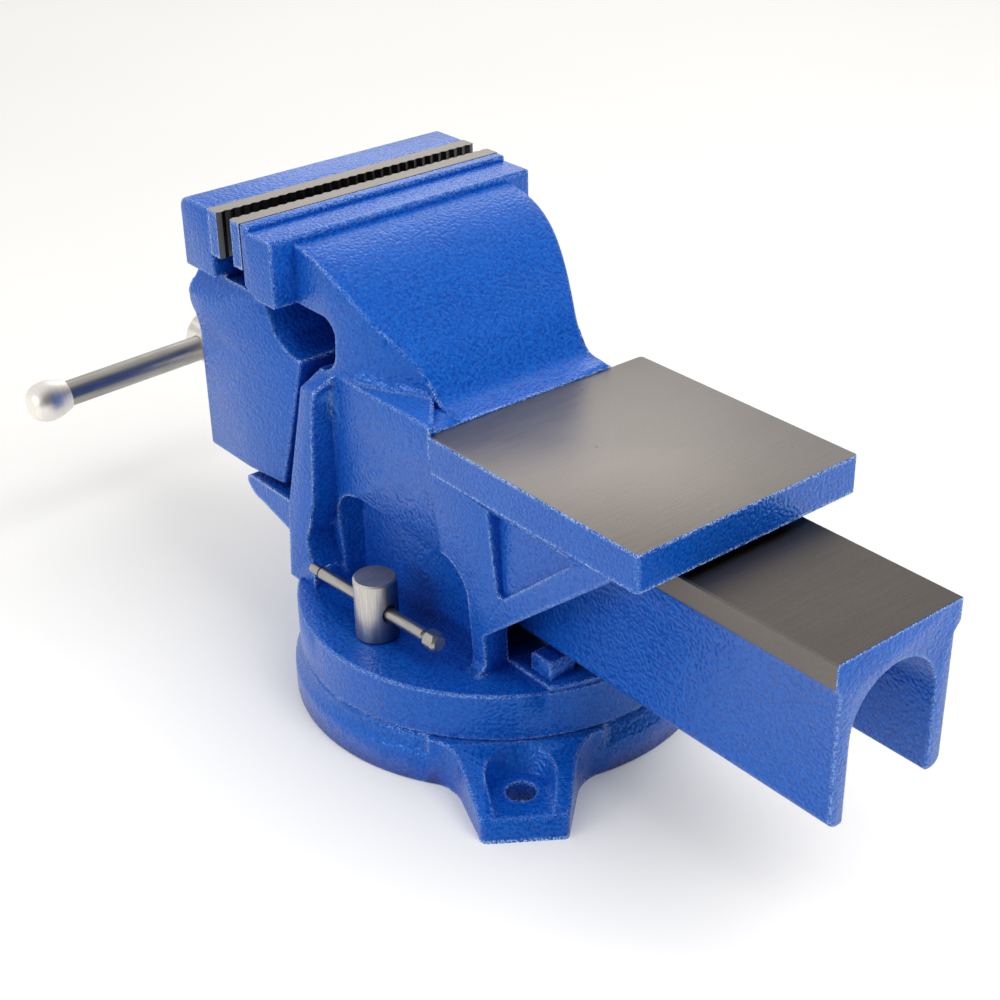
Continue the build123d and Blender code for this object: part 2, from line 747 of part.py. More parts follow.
def make_plate_screws(face, direction):
    cone_depth = screw_head_radius - screw_radius
    top = face + direction * (tooth_depth + 0.6)
    tip = top + direction * screw_length
    points = [(top, 0), (top, screw_head_radius), (top + direction * cone_depth, screw_radius),
              (tip, screw_radius), (tip, 0)]
    screw = turned(points, axis_height=0.0)
    socket_plane = Plane(origin=(0, top, 0), x_dir=(1, 0, 0), z_dir=(0, direction, 0))
    screw -= extrude(socket_plane * RegularPolygon(screw_socket / 2, 6, major_radius=False), amount=2.2)
    return [Pos(side * screw_offset, 0, screw_height) * screw for side in (-1, 1)]


# Spindle, handle and thrust pieces

def turn_on_spindle(shape):
    # Turns spindle and handle about the spindle line, right end down
    return Pos(0, 0, spindle_height) * Rot(0, handle_turn, 0) * Pos(0, 0, -spindle_height) * shape


def make_spindle():
    head_end = -spindle_head_end
    points = [(head_end, 0), (head_end, spindle_head_radius - 3), (head_end + 1.2, spindle_head_radius - 1),
              (head_end + 3.2, spindle_head_radius), (spindle_flange_face - 3, spindle_head_radius),
              (spindle_flange_face, spindle_flange_radius - 1),
              (spindle_flange_face + 1, spindle_flange_radius),
              (thrust_face, spindle_flange_radius), (thrust_face, spindle_radius),
              (spindle_end - 3, spindle_radius), (spindle_end, spindle_radius - 3), (spindle_end, 0)]
    spindle = turned(points)
    cross = extrude(Plane.YZ * Pos(handle_place, spindle_height) * Circle(handle_radius + running_clearance),
                    amount=2 * spindle_head_radius, both=True)
    pin_hole = upright(0, collar_centre(), spindle_height - collar_radius, spindle_height + collar_radius,
                       collar_pin_radius + press_fit)
    return turn_on_spindle(spindle - cross - pin_hole)


def collar_centre():
    return hollow_front + seat_clearance + collar_length / 2


def make_collar():
    front = hollow_front + seat_clearance
    collar = lengthwise(front, front + collar_length, collar_radius)
    collar = chamfer(collar.edges(), 1.0)
    collar -= lengthwise(front - 1, front + collar_length + 1, spindle_radius + press_fit)
    reach = collar_radius + 1
    collar -= upright(0, collar_centre(), spindle_height - reach, spindle_height + reach,
                      collar_pin_radius + press_fit)
    return turn_on_spindle(collar)


def make_collar_pin():
    reach = collar_radius - 0.6
    pin = upright(0, collar_centre(), spindle_height - reach, spindle_height + reach, collar_pin_radius)
    return turn_on_spindle(pin)


def make_thrust_washer():
    washer = lengthwise(thrust_face, boss_face, thrust_washer_radius)
    washer = chamfer(washer.edges(), 0.6)
    return washer - lengthwise(thrust_face - 1, boss_face + 1, spindle_radius + running_clearance)


def knob_start():
    return handle_half_length - knob_length


def make_handle_bar():
    reach = handle_half_length - knob_cap
    end = Plane.YZ * Pos(handle_place, spindle_height) * Circle(handle_radius)
    return turn_on_spindle(extrude(end, amount=reach, both=True))


def make_handle_knob(side):
    # Upset ball with a flat end, on the right end of the bar for side 1
    start = knob_start()
    end = handle_half_length
    middle = (start + end) / 2
    reach = end - knob_cap
    edges = [Line((start, handle_radius + press_fit), (start, handle_radius + 1.2)),
             Spline((start, handle_radius + 1.2), (start + 4.5, knob_radius - 1.2), (middle + 1, knob_radius),
                    (end - 3.2, knob_radius - 1.6), (end, knob_face_radius)),
             Line((end, knob_face_radius), (end, 0)),
             Line((end, 0), (reach, 0)),
             Line((reach, 0), (reach, handle_radius + press_fit)),
             Line((reach, handle_radius + press_fit), (start, handle_radius + press_fit))]
    knob = revolve(Plane.XY * outline(*edges), Axis.X)
    if side < 0:
        knob = mirror(knob, about=Plane.YZ)
    return turn_on_spindle(Pos(0, handle_place, spindle_height) * knob)


# Spindle nut and its bolt

def nut_bolt_place():
    return nut_foot_rear - nut_bolt_margin


def make_spindle_nut():
    foot_top = floor_top + nut_foot_height
    round_top = spindle_height + nut_half_width
    front_edges = [Line((-nut_half_width, floor_top), (nut_half_width, floor_top)),
                   Line((nut_half_width, floor_top), (nut_half_width, spindle_height)),
                   ThreePointArc((nut_half_width, spindle_height), (0, round_top),
                                 (-nut_half_width, spindle_height)),
                   Line((-nut_half_width, spindle_height), (-nut_half_width, floor_top))]
    nut = front_prism(outline(*front_edges), nut_front, nut_rear)
    foot = Box(2 * nut_foot_half_width, nut_foot_rear - nut_foot_front, nut_foot_height)
    foot = Pos(0, (nut_foot_front + nut_foot_rear) / 2, (floor_top + foot_top) / 2) * foot
    nut += fillet(foot.edges().filter_by(Axis.Z), 6.0)
    web = polygon((nut_rear - 1, foot_top - 1), (nut_rear - 1, foot_top + 14), (nut_rear + 1.5, foot_top - 1))
    nut += side_prism(web, nut_half_width - 4)
    nut -= lengthwise(nut_front - 1, nut_rear + 1, spindle_radius + running_clearance)
    return nut - upright(0, nut_bolt_place(), floor_top - 1, foot_top + 1, nut_bolt_radius + bolt_clearance)


def make_nut_bolt():
    seat = floor_top + nut_foot_height
    place = nut_bolt_place()
    bolt = upright(0, place, floor_top - nut_bolt_depth + 1.5, seat + 1, nut_bolt_radius)
    bolt += upright(0, place, seat, seat + 1.6, nut_bolt_head_flats / 2 + 1.5)
    head = hexagon_bar(0, place, seat + 1.6, seat + 1.6 + nut_bolt_head_height, nut_bolt_head_flats)
    return bolt + chamfer(head.edges().group_by(Axis.Z)[-1], 0.8)


# Swivel pivot

def make_pivot_bolt():
    head_top = head_well_depth - bolt_clearance
    head = hexagon_bar(0, 0, head_top - pivot_head_height, head_top, pivot_head_flats)
    head = chamfer(head.edges().group_by(Axis.Z)[0], 1.0)
    end = floor_top + pivot_washer_thickness + pivot_nut_height + 3
    shank = chamfer(upright(0, 0, head_top - 1, end, pivot_radius).edges().group_by(Axis.Z)[-1], 1.0)
    return head + shank


def make_pivot_washer():
    washer = upright(0, 0, floor_top, floor_top + pivot_washer_thickness, pivot_washer_radius)
    return washer - upright(0, 0, floor_top - 1, floor_top + 10, pivot_radius + seat_clearance)


def make_pivot_nut():
    low = floor_top + pivot_washer_thickness
    nut = hexagon_bar(0, 0, low, low + pivot_nut_height, pivot_head_flats)
    nut = chamfer(nut.edges().group_by(Axis.Z)[-1], 1.2)
    return nut - upright(0, 0, low - 1, low + pivot_nut_height + 1, pivot_radius + press_fit)


# Lock bolts, nuts and bars on the right side

def lock_bore_top():
    return lock_bar_level - lock_bar_radius - 0.6


def make_lock_bolt():
    head_top = slot_top - seat_clearance
    head = Pos(lock_radius, 0, head_top - lock_head_height / 2) * Box(
        lock_head_width, lock_head_width - 2, lock_head_height)
    head = chamfer(head.edges().filter_by(Axis.Z), 3.0)
    return head + upright(lock_radius, 0, head_top - 1, lock_bore_top() - 0.4, lock_bolt_radius)


def turn_on_lock(shape):
    return Pos(lock_radius, 0, 0) * Rot(0, 0, lock_bar_turn) * shape


def lock_bar_line(y_front, y_rear, radius):
    return lengthwise(y_front, y_rear, radius, z=lock_bar_level)


def make_lock_nut():
    nut = upright(0, 0, disc_top, disc_top + lock_nut_height, lock_nut_radius)
    nut = chamfer(nut.edges(), 0.8)
    nut -= upright(0, 0, disc_top - 1, lock_bore_top(), lock_bolt_radius + running_clearance)
    hole = lock_bar_radius + running_clearance
    nut -= lock_bar_line(-20, 20, hole)
    for side in (-1, 1):
        outer = side * (lock_nut_radius + 0.5)
        inner = side * (lock_nut_radius - 2.0)
        flare = [(inner, 0), (inner, hole), (outer, hole + 2.5), (outer, 0)]
        nut -= turned(flare, axis_height=lock_bar_level)
    return turn_on_lock(nut)


def lock_knob_start():
    return lock_bar_rear - lock_knob_length


def make_lock_bar():
    main_front = -(lock_bar_front - lock_tip_length - lock_groove)
    neck_start = lock_knob_start() - 1.2
    neck_end = lock_knob_start() + lock_neck_depth
    points = [(-lock_bar_front, 0), (-lock_bar_front, lock_tip_radius - 0.5),
              (-lock_bar_front + 0.5, lock_tip_radius), (main_front - lock_groove, lock_tip_radius),
              (main_front - lock_groove, lock_groove_radius), (main_front, lock_groove_radius),
              (main_front, lock_bar_radius), (neck_start - 0.8, lock_bar_radius),
              (neck_start, lock_neck_radius), (neck_end, lock_neck_radius), (neck_end, 0)]
    return turn_on_lock(turned(points, axis_height=lock_bar_level))


def make_lock_knob():
    start = lock_knob_start()
    plane = Plane(origin=(0, start, lock_bar_level), x_dir=(1, 0, 0), z_dir=(0, 1, 0))
    hexagon = plane * RegularPolygon(lock_knob_flats / 2, 6, major_radius=False)
    knob = extrude(hexagon, amount=lock_knob_length)
    end = start + lock_knob_length
    round_radius = lock_knob_flats / 2 + 0.5
    ends = turned([(start, 0), (start, round_radius - 1.6), (start + 1.8, round_radius),
                   (end - 1.8, round_radius), (end, round_radius - 1.6), (end, 0)],
                  axis_height=lock_bar_level)
    knob = knob & ends
    neck = lock_bar_line(start - 1, start + lock_neck_depth, lock_neck_radius + press_fit)
    return turn_on_lock(knob - neck)


def write(name, shape):
    export_step(shape, f"parts/{name}.step")


def main():
    os.makedirs("parts", exist_ok=True)
    write("swivel_base", make_swivel_base())
    write("fixed_body", make_fixed_body())
    write("movable_jaw", make_movable_jaw())
    write("fixed_jaw_plate", make_plate(fixed_face, 1))
    write("movable_jaw_plate", make_plate(movable_face, -1))
    write("fixed_plate_screws", Compound(children=make_plate_screws(fixed_face, 1)))
    write("movable_plate_screws", Compound(children=make_plate_screws(movable_face, -1)))
    write("spindle", make_spindle())
    write("thrust_washer", make_thrust_washer())
    write("spindle_collar", make_collar())
    write("collar_pin", make_collar_pin())
    write("spindle_nut", make_spindle_nut())
    write("nut_bolt", make_nut_bolt())
    write("handle_bar", make_handle_bar())
    write("handle_knob_right", make_handle_knob(1))
    write("handle_knob_left", make_handle_knob(-1))
    write("pivot_bolt", make_pivot_bolt())
    write("pivot_washer", make_pivot_washer())
    write("pivot_nut", make_pivot_nut())
    makers = {"lock_bolt": make_lock_bolt, "lock_nut": make_lock_nut,
              "lock_bar": make_lock_bar, "lock_knob": make_lock_knob}
    for name, maker in makers.items():
        write(name + "_right", maker())
        write(name + "_left", mirror(maker(), about=Plane.YZ))


main()
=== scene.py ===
import json
from math import cos, radians, sin, tau

import bmesh
import bpy
from bpy.props import FloatProperty, FloatVectorProperty, IntProperty, PointerProperty
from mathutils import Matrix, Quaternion, Vector


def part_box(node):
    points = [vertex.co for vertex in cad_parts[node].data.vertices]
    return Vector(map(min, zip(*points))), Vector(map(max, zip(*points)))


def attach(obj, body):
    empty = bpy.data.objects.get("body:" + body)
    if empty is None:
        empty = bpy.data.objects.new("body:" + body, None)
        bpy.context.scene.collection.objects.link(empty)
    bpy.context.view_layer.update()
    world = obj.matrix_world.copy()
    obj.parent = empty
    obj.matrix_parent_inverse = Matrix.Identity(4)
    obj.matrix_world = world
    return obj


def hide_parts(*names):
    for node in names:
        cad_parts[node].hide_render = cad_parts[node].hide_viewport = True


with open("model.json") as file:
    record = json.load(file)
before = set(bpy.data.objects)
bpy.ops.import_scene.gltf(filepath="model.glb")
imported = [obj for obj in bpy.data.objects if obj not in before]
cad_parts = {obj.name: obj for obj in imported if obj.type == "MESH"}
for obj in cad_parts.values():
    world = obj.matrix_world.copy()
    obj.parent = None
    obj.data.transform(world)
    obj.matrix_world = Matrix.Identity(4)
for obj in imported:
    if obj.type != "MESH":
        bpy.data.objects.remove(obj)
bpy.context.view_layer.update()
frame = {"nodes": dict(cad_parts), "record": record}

bl_info = {
    "name": "Swivel bench vise",
    "version": (1, 0, 0),
    "blender": (4, 5, 0),
    "location": "3D View > Sidebar > Vise",
    "description": "Dresses a swivel bench vise with cast, painted and machined finishes",
    "category": "Object",
}

MM = 0.001

# Limits that tell flat, sharp and level apart
FLAT_ANGLE = radians(0.6)
SHARP_ANGLE = radians(28)
MACHINED_ANGLE = radians(40)
SMOOTH_ANGLE = radians(32)
WELD_GAP = 0.004 * MM
THREAD_GAP = 0.01 * MM
LEVEL_GAP = 0.03 * MM
FACE_GAP = 0.05 * MM
ROOF_GAP = 0.1 * MM

# How far a face's normal leans towards an axis, for picking faces
FLAT_UP = 0.99
TOOTH_LEAN = 0.3
END_LEAN = 0.5
SIDE_LEAN = 0.95

# Rounding of edges: an edge is rounded where the faces beside it are ROOM times the width
ROUND_SEGMENTS = 2
ROOM = 1.5

# Base: its inside and its foot stay sharp, and so does the thin strip beside each ear's root
BASE_INSIDE = 88 * MM
BASE_FOOT = 1 * MM
THIN_SPOT = Vector((56, 80, 24)) * MM
THIN_REACH = 10 * MM

# Body: strips that are narrower than the rounding
ANVIL_FRONT = 30.4 * MM
ANVIL_UNDERSIDE = 142 * MM
BELOW_ANVIL_LOW = 139 * MM
BELOW_ANVIL_HIGH = 142.6 * MM
WALL_SIDE = 61 * MM
CORNER_SIDE = 71.9 * MM
CORNER_FRONT = -69 * MM
CORNER_TOP = 93 * MM

# Beam: its milled top and side bands
BEAM_TOP = 138.2 * MM
BEAM_BAND = 126.4 * MM
BEAM_SIDE = 35.0 * MM
BEAM_START = -60 * MM

# Thread: the rib's foot as a share of the pitch, and the turns beyond its ends that are cut off
RIB_SHARE = 0.62
LEAD_TURNS = 1.5
SPARE_TURNS = 3

# Stretch of a noise, for lines along one axis
LINES_X = (0.03, 1, 1)
LINES_Y = (1, 0.03, 1)
LINES_Z = (1, 1, 0.03)
SHORT_LINES_X = (0.05, 1, 1)
RINGS = {"X": (1, 0.02, 0.02), "Y": (0.02, 1, 0.02), "Z": (0.02, 0.02, 1)}

# Middle span of a noise
SOFT_SPAN = (0.3, 0.7)

# Raw iron, the floor's two shades and white
RAW_IRON = (0.16, 0.155, 0.15)
FLOOR_DARK = (0.81, 0.80, 0.775)
FLOOR_LIGHT = (0.83, 0.82, 0.795)
WHITE = (1, 1, 1, 1)

# Studio: the sensor in millimetres, what the camera sees in metres, the floor just under the base
SENSOR = 36
NEAREST = 10 * MM
FARTHEST = 100
FLOOR_DROP = 0.02 * MM
LAMP_AIM = (0, 0, 0.1)

# Places of the mix node's sockets, several of which share a name
MIX_FACTOR = 0
FIRST_NUMBER, SECOND_NUMBER, MIXED_NUMBER = 2, 3, 0
FIRST_COLOUR, SECOND_COLOUR, MIXED_COLOUR = 6, 7, 2


# Settings that a user may change

class PaintSettings(bpy.types.PropertyGroup):
    colour: FloatVectorProperty(
        name="Paint", description="Colour of the hammered paint", subtype="COLOR",
        size=3, min=0, max=1, default=(0.001, 0.105, 0.53))
    deep: FloatVectorProperty(
        name="Deep paint", description="Colour in the valleys of the dimples", subtype="COLOR",
        size=3, min=0, max=1, default=(0.0006, 0.052, 0.36))
    # Painted shade: the colour that hollows and corners turn to, where ambient occlusion finds
    # them
    hollow_shade: FloatVectorProperty(
        name="Hollow shade", description="Colour of the painted shade in corners and hollows",
        subtype="COLOR", size=3, min=0, max=1, default=(0.0003, 0.025, 0.50))
    # Painted highlight: the light colour dotted along the outer edges, also used for the fine
    # flecks of the paint
    glint: FloatVectorProperty(
        name="Glint", description="Colour of the painted highlights on edges and of the fine flecks", subtype="COLOR",
        size=3, min=0, max=1, default=(0.5, 0.68, 0.92))
    grain: FloatProperty(
        name="Grain", description="Size of one hammered dimple", unit="LENGTH",
        default=1.6 * MM)
    relief: FloatProperty(
        name="Relief", description="Depth of the dimples", unit="LENGTH", default=0.16 * MM)
    # Painted highlight: how far the light dots reach from an outer edge
    edge_reach: FloatProperty(
        name="Edge reach", description="How far the painted edge highlight reaches from an edge",
        unit="LENGTH", default=2.0 * MM)
    edge_round: FloatProperty(
        name="Edge round", description="Rounding of the cast edges", unit="LENGTH",
        default=1.1 * MM)
    roughness: FloatProperty(
        name="Roughness", description="How dull the paint is", subtype="FACTOR",
        min=0, max=1, default=0.3)


class MetalSettings(bpy.types.PropertyGroup):
    ground: FloatVectorProperty(
        name="Ground iron", description="Colour of the ground and milled faces",
        subtype="COLOR", size=3, min=0, max=1, default=(0.305, 0.275, 0.25))
    bright: FloatVectorProperty(
        name="Bright steel", description="Colour of the turned and drawn steel",
        subtype="COLOR", size=3, min=0, max=1, default=(0.88, 0.84, 0.78))
    dark: FloatVectorProperty(
        name="Dark steel", description="Colour of the blackened screws", subtype="COLOR",
        size=3, min=0, max=1, default=(0.10, 0.10, 0.105))
    line_pitch: FloatProperty(
        name="Line pitch", description="Distance between the grinding lines", unit="LENGTH",
        default=0.35 * MM)
    edge_round: FloatProperty(
        name="Machined edge", description="Rounding of the machined edges", unit="LENGTH",
        default=0.3 * MM)


class ThreadSettings(bpy.types.PropertyGroup):
    start: FloatProperty(
        name="Start", description="Where the thread starts, from the swivel axis",
        unit="LENGTH", default=-108 * MM)
    radius: FloatProperty(
        name="Radius", description="Outer radius of the thread", unit="LENGTH",
        default=11 * MM)
    pitch: FloatProperty(
        name="Pitch", description="Rise of one turn", unit="LENGTH", default=5 * MM)
    depth: FloatProperty(
        name="Depth", description="Depth of the thread", unit="LENGTH", default=1.9 * MM)
    crest: FloatProperty(
        name="Crest", description="Width of the crest as a share of the thread's foot",
        subtype="FACTOR", min=0.1, max=1, default=0.55)
    steps: IntProperty(
        name="Steps", description="Facets in one turn", min=8, default=32)


class StageSettings(bpy.types.PropertyGroup):
    camera_place: FloatVectorProperty(
        name="Camera", description="Where the camera stands", subtype="XYZ", unit="LENGTH",
        size=3, default=(463.6 * MM, 580.8 * MM, 507.3 * MM))
    heading: FloatProperty(
        name="Heading", description="Compass direction of the view from +Y",
        subtype="ANGLE", default=radians(-141.34))
    fall: FloatProperty(
        name="Fall", description="Angle of the view below the horizon", subtype="ANGLE",
        default=radians(29.15))
    roll: FloatProperty(
        name="Roll", description="Tilt of the camera about its view", subtype="ANGLE",
        default=radians(-1.19))
    lens: FloatProperty(
        name="Lens", description="Focal length in millimetres on a 36 mm sensor",
        default=64.61)
    floor_size: FloatProperty(
        name="Floor", description="Width of the floor", unit="LENGTH", default=12.0)
    sky: FloatProperty(
        name="Sky", description="Strength of the even light", min=0, default=0.85)
    dim: FloatProperty(
        name="Dim side", description="Strength of the dim side", min=0, default=0.08)
    bright_side: FloatVectorProperty(
        name="Bright side", description="Direction of the brighter side",
        subtype="DIRECTION", size=3, default=(0.2, -0.97, 0.1))


# Selecting and editing

def active_only(piece):
    bpy.ops.object.select_all(action="DESELECT")
    piece.select_set(True)
    bpy.context.view_layer.objects.active = piece


def edit(piece):
    active_only(piece)
    bpy.ops.object.mode_set(mode="EDIT")
    bpy.ops.mesh.select_all(action="DESELECT")


def leave_edit():
    bpy.ops.object.mode_set(mode="OBJECT")


def pick(piece, kind, wanted):
    """Selects the vertices or edges that wanted names, and nothing else."""
    bpy.ops.mesh.select_mode(type=kind)
    bpy.ops.mesh.select_all(action="DESELECT")
    mesh = bmesh.from_edit_mesh(piece.data)
    for part in {"VERT": mesh.verts, "EDGE": mesh.edges}[kind]:
        part.select_set(wanted(part))
    mesh.select_flush_mode()
    bmesh.update_edit_mesh(piece.data)


def apply_modifier(piece, kind, **values):
    active_only(piece)
    modifier = piece.modifiers.new(kind.title(), kind)
    for name, value in values.items():
        setattr(modifier, name, value)
    bpy.ops.object.modifier_apply(modifier=modifier.name)


def cast_copy(node, name):
    """A copy of a CAD node with its flat faces joined, ready for rounding."""
    active_only(frame["nodes"][node])
    bpy.ops.object.duplicate()
    piece = bpy.context.view_layer.objects.active
    piece.name = name
    piece.data.name = name
    for key in list(piece.keys()):
        del piece[key]
    edit(piece)
    bpy.ops.mesh.select_all(action="SELECT")
    bpy.ops.mesh.remove_doubles(threshold=WELD_GAP)
    bpy.ops.mesh.dissolve_limited(angle_limit=FLAT_ANGLE)
    leave_edit()
    return piece


def finish_piece(piece, body, *nodes):
    """Smooths the piece, rides it on its body and puts it in place of the CAD nodes."""
    active_only(piece)
    bpy.ops.object.shade_smooth_by_angle(angle=SMOOTH_ANGLE)
    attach(piece, body)
    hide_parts(*nodes)
    bpy.ops.object.select_all(action="DESELECT")


# Materials

class Sheet:
    """Adds linked shader nodes to a material or a world."""

    def __init__(self, owner, shader="Principled BSDF"):
        owner.use_nodes = True
        self.owner = owner
        self.nodes = owner.node_tree.nodes
        self.links = owner.node_tree.links
        self.shader = self.nodes[shader]

    def add(self, kind, **values):
        node = self.nodes.new(kind)
        for name, value in values.items():
            setattr(node, name, value)
        return node

    def feed(self, socket, value):
        """Links a socket to another node's output, or sets it to a plain value."""
        if isinstance(value, bpy.types.NodeSocket):
            self.links.new(value, socket)
        else:
            socket.default_value = value

    def fill(self, node, **values):
        """Feeds the inputs of a node by their names, with _ for a space."""
        for name, value in values.items():
            self.feed(node.inputs[name.replace("_", " ")], value)

    def noise(self, size, detail, stretch=(1, 1, 1), roughness=0.5):
        coordinates = self.add("ShaderNodeTexCoord")
        mapping = self.add("ShaderNodeMapping")
        texture = self.add("ShaderNodeTexNoise")
        self.fill(mapping, Vector=coordinates.outputs["Object"],
                  Scale=tuple(one / size for one in stretch))
        self.fill(texture, Vector=mapping.outputs["Vector"], Scale=1.0, Detail=detail,
                  Roughness=roughness)
        return texture.outputs["Fac"]

    def spread(self, value, span, to=(0.0, 1.0), curve="LINEAR"):
        """Stretches a value from one span to another, and holds it at the ends."""
        ranged = self.add("ShaderNodeMapRange", interpolation_type=curve)
        self.fill(ranged, Value=value, From_Min=span[0], From_Max=span[1], To_Min=to[0],
                  To_Max=to[1])
        return ranged.outputs["Result"]

    def blend(self, factor, first, second):
        """Mixes two colours, given as numbers or as the output of another node."""
        mix = self.add("ShaderNodeMix", data_type="RGBA")
        self.feed(mix.inputs[MIX_FACTOR], factor)
        for place, colour in ((FIRST_COLOUR, first), (SECOND_COLOUR, second)):
            plain = not isinstance(colour, bpy.types.NodeSocket)
            self.feed(mix.inputs[place], (*colour[:3], 1.0) if plain else colour)
        return mix.outputs[MIXED_COLOUR]

    def math(self, operation, first, second):
        node = self.add("ShaderNodeMath", operation=operation)
        self.feed(node.inputs[0], first)
        self.feed(node.inputs[1], second)
        return node.outputs[0]

    def bump(self, height, distance, strength, **under):
        node = self.add("ShaderNodeBump")
        self.fill(node, Height=height, Distance=distance, Strength=strength, **under)
        return node.outputs["Normal"]

    def openness(self, reach, inside=False):
        """1 on an open stretch, less in hollows, or with inside set, less along outer edges."""
        hidden = self.add("ShaderNodeAmbientOcclusion", samples=5, inside=inside)
        self.fill(hidden, Distance=reach)
        return hidden.outputs["AO"]


def tone(colour, factor):
    return tuple(min(1.0, channel * factor) for channel in colour)


def hammered_paint(name, settings):
    """Blue paint with hammered dimples, with painted shade in hollows and painted highlights
    along the edges.
    """
    fine_size = settings.grain * 0.45
    cloud_size, lump_size, hollow_reach = 30 * MM, 7 * MM, 40 * MM
    valley_to_rim = (0.25, 0.7)
    black_to_shade, shade_to_open = (0.06, 0.34), (0.15, 0.55)
    cloud_span, cloud_share = (0.35, 0.7), 0.35
    speck_span, speck_share = (0.58, 0.74), 0.1
    edge_span, highlight_span = (0.88, 0.66), (0.47, 0.56)
    darkest_shade = tone(settings.hollow_shade, 0.12)
    gloss_play, dimple_gain = 0.08, 4

    sheet = Sheet(bpy.data.materials.new(name))
    dimple = sheet.noise(settings.grain, detail=0.5)
    fine = sheet.noise(fine_size, detail=1.0)
    cloud = sheet.noise(cloud_size, detail=3.0)
    open_to_light = sheet.openness(hollow_reach)

    mottled = sheet.blend(sheet.spread(dimple, valley_to_rim), settings.deep, settings.colour)
    # Painted shade: hollows found by ambient occlusion turn a deeper blue, and the deepest ones
    # turn near black
    shaded = sheet.blend(sheet.spread(open_to_light, black_to_shade), darkest_shade, settings.hollow_shade)
    mottled = sheet.blend(sheet.spread(open_to_light, shade_to_open), shaded, mottled)
    clouds = sheet.spread(cloud, cloud_span, (0.0, cloud_share))
    clouded = sheet.blend(clouds, mottled, settings.colour)

    specks = sheet.math("MULTIPLY", sheet.spread(fine, speck_span), speck_share)
    flecked = sheet.blend(specks, clouded, settings.glint)
    # Painted highlight: light dots along the outer edges, found by ambient occlusion inside the
    # piece
    edge = sheet.spread(sheet.openness(settings.edge_reach, inside=True), edge_span)
    edge_highlight = sheet.math("MULTIPLY", edge, sheet.spread(fine, highlight_span))
    edge_highlighted = sheet.blend(edge_highlight, flecked, settings.glint)

    smoothest, roughest = settings.roughness - gloss_play, settings.roughness + gloss_play
    gloss = sheet.spread(dimple, SOFT_SPAN, (smoothest, roughest))
    lumps = sheet.noise(lump_size, detail=2.0)
    cast = sheet.bump(lumps, distance=0.5 * MM, strength=0.3)
    hammered = sheet.bump(dimple, distance=settings.relief * dimple_gain, strength=0.7,
                          Normal=cast)
    sheet.fill(sheet.shader, Base_Color=edge_highlighted, Roughness=gloss, Normal=hammered, IOR=1.8,
               Specular_Tint=(0.08, 0.35, 1.0, 1.0), Coat_Normal=hammered, Coat_Weight=0.3,
               Coat_IOR=1.45, Coat_Roughness=0.18)
    return sheet.owner


def ground_metal(name, colour, stretch, pitch, roughness=0.38, contrast=0.14):
    """Milled or ground iron, with fine lines along the axis that stretch draws out."""
    line_size, grit_size, patch_size, pit_size = pitch * 2, 0.9 * MM, 26 * MM, 3.2 * MM
    grit_span, grit_share = (0.35, 0.65), 0.4
    patch_span, patch_share = (0.5, 0.78), 0.3
    pit_span = (0.86, 0.88)
    shadow_reach, shadow_span = 50 * MM, (0.3, 0.95)
    stain, pit, shadow = tone(colour, 0.8), tone(colour, 0.3), tone(colour, 0.35)
    smoother, rougher = 0.04, 0.08

    sheet = Sheet(bpy.data.materials.new(name))
    lines = sheet.noise(line_size, detail=3.0, stretch=stretch, roughness=0.6)
    grit = sheet.spread(sheet.noise(grit_size, detail=2.0), grit_span, (0.0, grit_share))
    patches = sheet.spread(sheet.noise(patch_size, detail=4.0), patch_span, (0.0, patch_share))
    pits = sheet.spread(sheet.noise(pit_size, detail=0.0), pit_span)
    open_to_light = sheet.spread(sheet.openness(shadow_reach), shadow_span)

    shade = sheet.blend(sheet.spread(lines, SOFT_SPAN), tone(colour, 1 - contrast),
                        tone(colour, 1 + contrast))
    stained = sheet.blend(patches, sheet.blend(grit, shade, stain), stain)
    # Painted shadow: darker where ambient occlusion finds a part close by, such as under the
    # anvil
    marked_and_shaded = sheet.blend(open_to_light, shadow, sheet.blend(pits, stained, pit))
    dull = sheet.spread(lines, SOFT_SPAN, (roughness - smoother, roughness + rougher))
    sheet.fill(sheet.shader, Base_Color=marked_and_shaded, Roughness=dull, Metallic=1.0,
               Normal=sheet.bump(lines, distance=0.04 * MM, strength=0.3))
    return sheet.owner


def turned_steel(name, colour, axis):
    """Lathe-turned steel: fine rings round its axis, a soft sheen and faint handling marks."""
    mark_size, haze_size = 0.5 * MM, 9 * MM
    haze_span, haze_share = (0.5, 0.8), 0.3
    dark, light, hazy = tone(colour, 0.94), tone(colour, 1.14), tone(colour, 0.75)
    smoothest, roughest = 0.37, 0.47

    sheet = Sheet(bpy.data.materials.new(name))
    marks = sheet.noise(mark_size, detail=2.0, stretch=RINGS[axis])
    haze = sheet.noise(haze_size, detail=3.0)
    shade = sheet.blend(sheet.spread(marks, SOFT_SPAN), dark, light)
    dulled = sheet.blend(sheet.spread(haze, haze_span, (0.0, haze_share)), shade, hazy)
    dull = sheet.spread(marks, SOFT_SPAN, (smoothest, roughest))
    sheet.fill(sheet.shader, Base_Color=dulled, Roughness=dull, Metallic=1.0,
               Normal=sheet.bump(marks, distance=0.03 * MM, strength=0.2))
    return sheet.owner


